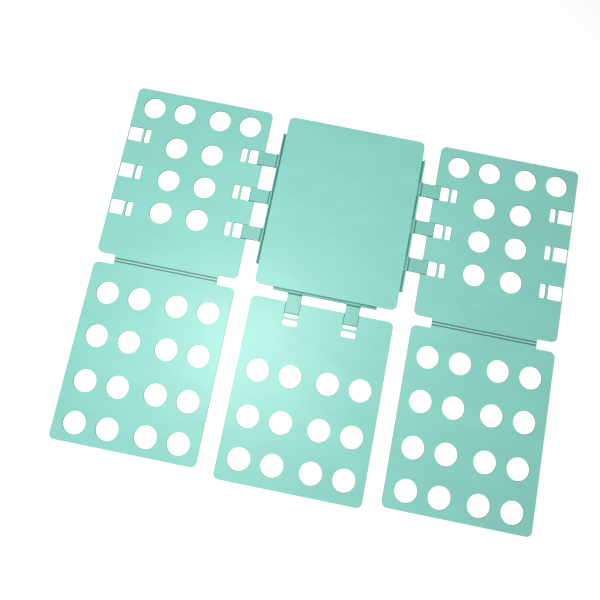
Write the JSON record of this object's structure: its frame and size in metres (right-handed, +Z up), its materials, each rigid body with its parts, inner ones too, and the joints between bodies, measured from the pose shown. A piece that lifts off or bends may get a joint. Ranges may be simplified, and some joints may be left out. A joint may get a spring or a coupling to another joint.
{
  "type": "shirt folding board",
  "caption": "Flat folding board for shirts: a solid centre panel with two hinged side flaps and a bottom flap, perforated with round holes and held by snap clips.",
  "frame": {"origin": "centre of the laid-out board's outline, on the surface it lies on", "axes": "+X across the three columns to the right, +Y from the bottom flap towards the centre panel's top edge, +Z up"},
  "size_m": [0.7148, 0.5688, 0.0062],
  "materials": {
    "panel_plastic": "satin moulded polypropylene in mint green",
    "clip_plastic": "satin moulded polypropylene in a slightly deeper mint green",
    "strip_plastic": "thin flexed polypropylene, paler than the panels"
  },
  "bodies": {
    "centre": {"centre_panel": "panel_plastic"},
    "left_clips": {"left_clip_top": "clip_plastic", "left_clip_middle": "clip_plastic", "left_clip_bottom": "clip_plastic"},
    "left_upper": {"left_upper_panel": "panel_plastic"},
    "left_strip": {"left_hinge_strip": "strip_plastic"},
    "left_lower": {"left_lower_panel": "panel_plastic"},
    "right_clips": {"right_clip_top": "clip_plastic", "right_clip_middle": "clip_plastic", "right_clip_bottom": "clip_plastic"},
    "right_upper": {"right_upper_panel": "panel_plastic"},
    "right_strip": {"right_hinge_strip": "strip_plastic"},
    "right_lower": {"right_lower_panel": "panel_plastic"},
    "bottom_clips": {"bottom_clip_left": "clip_plastic", "bottom_clip_right": "clip_plastic"},
    "bottom_flap": {"bottom_panel": "panel_plastic"}
  },
  "joints": [
    {"name": "left_clip_fold", "type": "hinge", "parent": "centre", "child": "left_clips", "pos_m": [-0.1136, 0.14695, 0.0038], "axis": [0, 1, 0], "range_deg": [0, 177]},
    {"name": "left_panel_tilt", "type": "hinge", "parent": "left_clips", "child": "left_upper", "pos_m": [-0.1383, 0.14695, 0.00145], "axis": [0, -1, 0], "range_deg": [-90, 90]},
    {"name": "left_lower_fold", "type": "hinge", "parent": "left_upper", "child": "left_strip", "pos_m": [-0.2474, 0.00422, 0.0011], "axis": [-1, 0, 0], "range_deg": [0, 87]},
    {"name": "left_lower_crease", "type": "hinge", "parent": "left_strip", "child": "left_lower", "pos_m": [-0.2474, -0.00052, 0.0011], "axis": [-1, 0, 0], "range_deg": [0, 87]},
    {"name": "right_clip_fold", "type": "hinge", "parent": "centre", "child": "right_clips", "pos_m": [0.1136, 0.14695, 0.0038], "axis": [0, -1, 0], "range_deg": [0, 177]},
    {"name": "right_panel_tilt", "type": "hinge", "parent": "right_clips", "child": "right_upper", "pos_m": [0.1383, 0.14695, 0.00145], "axis": [0, 1, 0], "range_deg": [-90, 90]},
    {"name": "right_lower_fold", "type": "hinge", "parent": "right_upper", "child": "right_strip", "pos_m": [0.2474, 0.00422, 0.0011], "axis": [-1, 0, 0], "range_deg": [0, 87]},
    {"name": "right_lower_crease", "type": "hinge", "parent": "right_strip", "child": "right_lower", "pos_m": [0.2474, -0.00052, 0.0011], "axis": [-1, 0, 0], "range_deg": [0, 87]},
    {"name": "bottom_clip_fold", "type": "hinge", "parent": "centre", "child": "bottom_clips", "pos_m": [0, 0.00585, 0.0038], "axis": [1, 0, 0], "range_deg": [-180, 0]},
    {"name": "bottom_panel_tilt", "type": "hinge", "parent": "bottom_clips", "child": "bottom_flap", "pos_m": [0, -0.01035, 0.00145], "axis": [-1, 0, 0], "range_deg": [-90, 90]}
  ],
  "couplings": [
    {"joint": "left_lower_crease", "follows": "left_lower_fold", "ratio": 1},
    {"joint": "right_lower_crease", "follows": "right_lower_fold", "ratio": 1}
  ]
}
